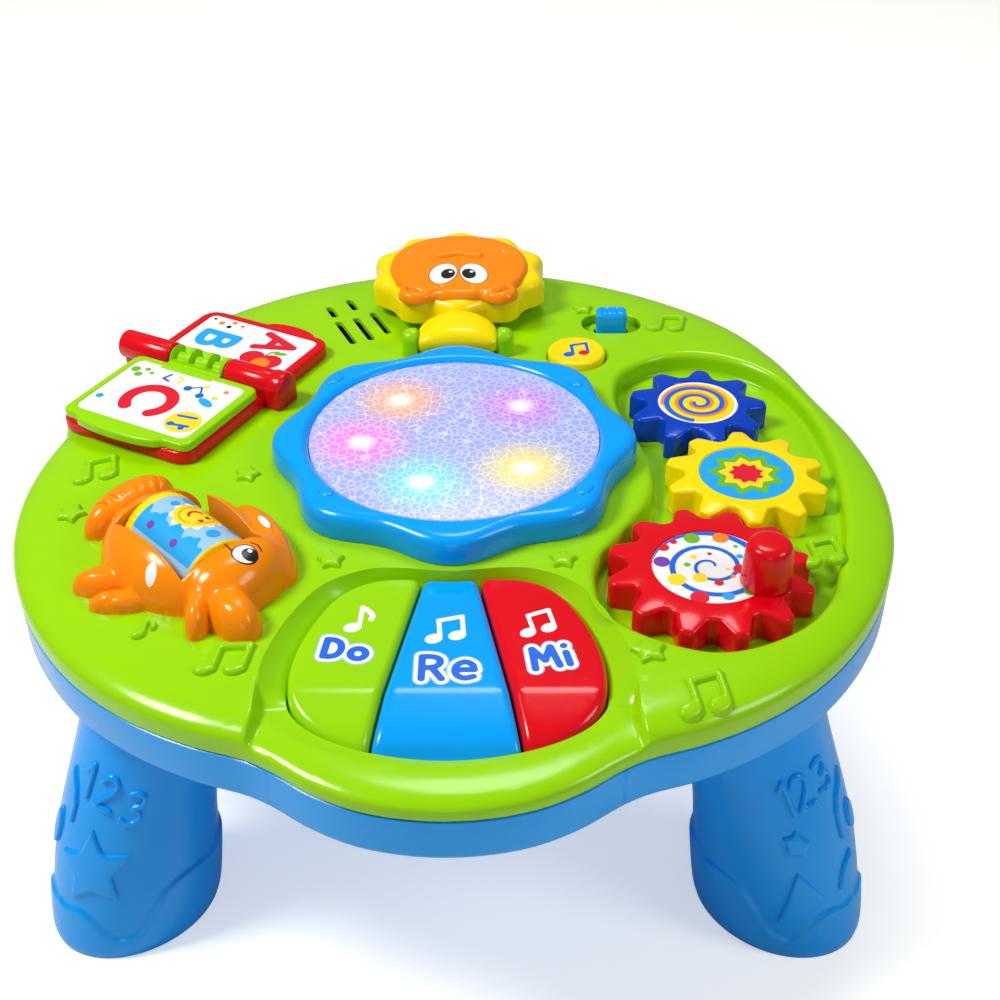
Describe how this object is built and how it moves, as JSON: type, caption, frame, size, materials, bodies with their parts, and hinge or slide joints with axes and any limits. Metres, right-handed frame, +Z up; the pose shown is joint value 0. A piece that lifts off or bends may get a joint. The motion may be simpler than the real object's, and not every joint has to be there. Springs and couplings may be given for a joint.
{
  "type": "musical activity table",
  "caption": "Low round toddler play table on four legs, with piano keys, meshed crank gears, a turning book page, a fish roller, a hinged lion flap, a lit panel and a music button.",
  "frame": {"origin": "centre of the table's outline on the floor, between the four feet", "axes": "+Z up, -Y towards the child at the piano keys, +X to that child's right"},
  "size_m": [0.3404, 0.357, 0.1637],
  "materials": {
    "lime_plastic": "glossy moulded",
    "sky_plastic": "glossy moulded",
    "blue_plastic": "glossy moulded",
    "red_plastic": "glossy moulded",
    "yellow_plastic": "glossy moulded",
    "orange_plastic": "glossy moulded",
    "diffuser_plastic": "satin",
    "white_plastic": "satin",
    "clear_lens": "glossy moulded",
    "circuit_board": "satin",
    "black_plastic": "satin",
    "dome_rubber": "matt",
    "steel": "plain bright",
    "battery_wrap": "satin"
  },
  "bodies": {
    "table": {"top_shell": "lime_plastic", "bottom_tray": "sky_plastic", "leg_front_left": "sky_plastic", "leg_front_right": "sky_plastic", "leg_back_left": "sky_plastic", "leg_back_right": "sky_plastic", "panel_bezel": "sky_plastic", "light_diffuser": "diffuser_plastic", "light_reflector": "white_plastic", "led_board": "circuit_board", "led_orange": "clear_lens", "led_magenta": "clear_lens", "led_violet": "clear_lens", "led_cyan": "clear_lens", "led_yellow": "clear_lens", "key_hinge_rod": "steel", "key_board": "circuit_board", "key_dome_do": "dome_rubber", "key_dome_re": "dome_rubber", "key_dome_mi": "dome_rubber", "axle_gear_red": "white_plastic", "axle_gear_yellow": "white_plastic", "axle_gear_blue": "white_plastic", "book_base": "red_plastic", "book_hinge_pin": "steel", "fish_body": "orange_plastic", "fish_axle": "steel", "lion_hinge_pin": "steel", "button_dome": "dome_rubber", "slide_switch": "black_plastic", "switch_board": "circuit_board", "speaker": "black_plastic", "main_board": "circuit_board", "battery_1": "battery_wrap", "battery_2": "battery_wrap", "battery_3": "battery_wrap", "battery_contact_left": "steel", "battery_contact_right": "steel", "battery_door": "sky_plastic", "housing_screw_back_left": "steel", "housing_screw_back_right": "steel", "housing_screw_front_left": "steel", "housing_screw_front_right": "steel"},
    "key_do": {"key_do": "lime_plastic"},
    "key_re": {"key_re": "sky_plastic"},
    "key_mi": {"key_mi": "red_plastic"},
    "gear_red": {"gear_red": "red_plastic"},
    "gear_yellow": {"gear_yellow": "yellow_plastic"},
    "gear_blue": {"gear_blue": "blue_plastic"},
    "crank_knob": {"crank_knob": "red_plastic"},
    "book_page": {"book_page": "lime_plastic"},
    "fish_roller": {"fish_roller": "yellow_plastic"},
    "lion_flap": {"lion_mane": "yellow_plastic", "lion_face": "orange_plastic", "lion_yoke": "yellow_plastic"},
    "music_button": {"music_button": "yellow_plastic"},
    "power_slider": {"power_slider": "blue_plastic"}
  },
  "joints": [
    {"name": "key_do_hinge", "type": "hinge", "parent": "table", "child": "key_do", "pos_m": [0, -0.07752, 0.125], "axis": [1, 0, 0], "range_deg": [0, 4], "stiffness_Nm_per_rad": 0.3, "springref_deg": -4.58, "deforming": ["key_dome_do"]},
    {"name": "key_re_hinge", "type": "hinge", "parent": "table", "child": "key_re", "pos_m": [0, -0.07752, 0.125], "axis": [1, 0, 0], "range_deg": [0, 4], "stiffness_Nm_per_rad": 0.3, "springref_deg": -4.58, "deforming": ["key_dome_re"]},
    {"name": "key_mi_hinge", "type": "hinge", "parent": "table", "child": "key_mi", "pos_m": [0, -0.07752, 0.125], "axis": [1, 0, 0], "range_deg": [0, 4], "stiffness_Nm_per_rad": 0.3, "springref_deg": -4.58, "deforming": ["key_dome_mi"]},
    {"name": "gear_red_spin", "type": "hinge", "parent": "table", "child": "gear_red", "pos_m": [0.09389, -0.07065, 0.1313], "axis": [0, 0, 1], "continuous": true},
    {"name": "gear_yellow_spin", "type": "hinge", "parent": "table", "child": "gear_yellow", "pos_m": [0.115, -0.01103, 0.1313], "axis": [0, 0, 1], "continuous": true},
    {"name": "gear_blue_spin", "type": "hinge", "parent": "table", "child": "gear_blue", "pos_m": [0.10197, 0.04202, 0.1313], "axis": [0, 0, 1], "continuous": true},
    {"name": "crank_knob_spin", "type": "hinge", "parent": "gear_red", "child": "crank_knob", "pos_m": [0.11207, -0.08011, 0.1434], "axis": [0, 0, 1], "continuous": true},
    {"name": "book_page_hinge", "type": "hinge", "parent": "table", "child": "book_page", "pos_m": [-0.1095, 0.06648, 0.148], "axis": [-0.8829, 0.4695, 0], "range_deg": [0, 180]},
    {"name": "fish_roller_spin", "type": "hinge", "parent": "table", "child": "fish_roller", "pos_m": [-0.0955, -0.06302, 0.1435], "axis": [0.682, -0.7314, 0], "continuous": true},
    {"name": "lion_flap_hinge", "type": "hinge", "parent": "table", "child": "lion_flap", "pos_m": [0, 0.09047, 0.147], "axis": [1, 0, 0], "range_deg": [0, 90]},
    {"name": "music_button_press", "type": "slide", "parent": "table", "child": "music_button", "axis": [0, 0, -1], "range_m": [0, 0.003], "stiffness_N_per_m": 300, "springref_m": -0.002, "deforming": ["button_dome"]},
    {"name": "power_slider_slide", "type": "slide", "parent": "table", "child": "power_slider", "axis": [1, 0, 0], "range_m": [-0.005, 0.005]}
  ],
  "couplings": [
    {"joint": "gear_yellow_spin", "follows": "gear_red_spin", "ratio": -1.2},
    {"joint": "gear_blue_spin", "follows": "gear_red_spin", "ratio": 1.3333}
  ]
}
